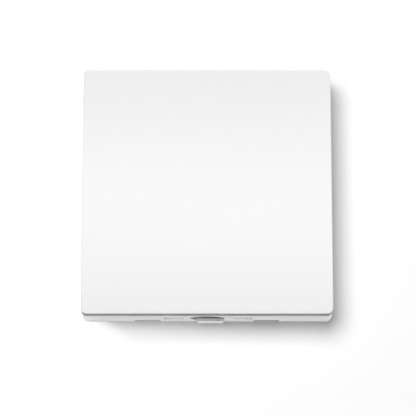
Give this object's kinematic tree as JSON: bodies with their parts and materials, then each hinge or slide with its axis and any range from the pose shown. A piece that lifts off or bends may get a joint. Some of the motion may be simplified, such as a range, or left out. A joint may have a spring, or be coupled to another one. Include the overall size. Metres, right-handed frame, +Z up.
{
  "type": "smart light switch",
  "caption": "Square wall switch with a large sprung press panel, a surround with a locking slider under its lower edge, a cell bay, and a rear housing with relay and wire terminals.",
  "frame": {"origin": "on the wall plane, midway between the two fixing screws", "axes": "+X to the viewer's right, +Z up, +Y into the wall; the panel faces -Y"},
  "size_m": [0.086, 0.0384, 0.0871],
  "materials": {
    "panel_plastic": "satin white moulding",
    "frame_plastic": "satin white moulding",
    "base_plastic": "textured white moulding",
    "plunger_plastic": "natural acetal",
    "black_plastic": "moulded black",
    "terminal_plastic": "moulded grey",
    "board": "green solder mask",
    "terminal_brass": "machined",
    "screw_steel": "zinc plated",
    "spring_steel": "drawn wire",
    "contact_nickel": "nickel plated sheet",
    "cell_wrap": "plain shrink sleeve",
    "capacitor_sleeve": "shrink sleeve",
    "ferrite": "pressed ferrite",
    "antenna_copper": "drawn copper wire"
  },
  "bodies": {
    "wall_unit": {"mounting_base": "base_plastic", "surround_frame": "frame_plastic", "rear_housing": "base_plastic", "housing_screws": "screw_steel", "return_spring": "spring_steel", "switch_body": "black_plastic", "circuit_board": "board", "relay": "black_plastic", "terminal_block": "terminal_plastic", "terminal_clamp_line": "terminal_brass", "terminal_clamp_load": "terminal_brass", "terminal_screws": "screw_steel", "cell_lower": "cell_wrap", "cell_upper": "cell_wrap", "contact_positive": "contact_nickel", "contact_negative": "contact_nickel", "contact_link": "contact_nickel", "storage_capacitor": "capacitor_sleeve", "boost_inductor": "ferrite", "radio_module": "board", "shield_can": "contact_nickel", "antenna_coil": "antenna_copper"},
    "panel": {"front_panel": "panel_plastic"},
    "push_pin": {"plunger": "plunger_plastic", "switch_stem": "plunger_plastic"},
    "slider": {"lock_slider": "frame_plastic"}
  },
  "joints": [
    {"name": "panel_press", "type": "hinge", "parent": "wall_unit", "child": "panel", "pos_m": [0, -0.008, 0.035], "axis": [1, 0, 0], "range_deg": [0, 0.9], "stiffness_Nm_per_rad": 9, "springref_deg": -0.38},
    {"name": "plunger_travel", "type": "slide", "parent": "wall_unit", "child": "push_pin", "axis": [0, 1, 0], "range_m": [0, 0.00085], "deforming": ["return_spring"]},
    {"name": "lock_slide", "type": "slide", "parent": "wall_unit", "child": "slider", "axis": [-1, 0, 0], "range_m": [0, 0.0024]}
  ],
  "couplings": [
    {"joint": "plunger_travel", "follows": "panel_press", "m_per_rad": 0.054}
  ]
}
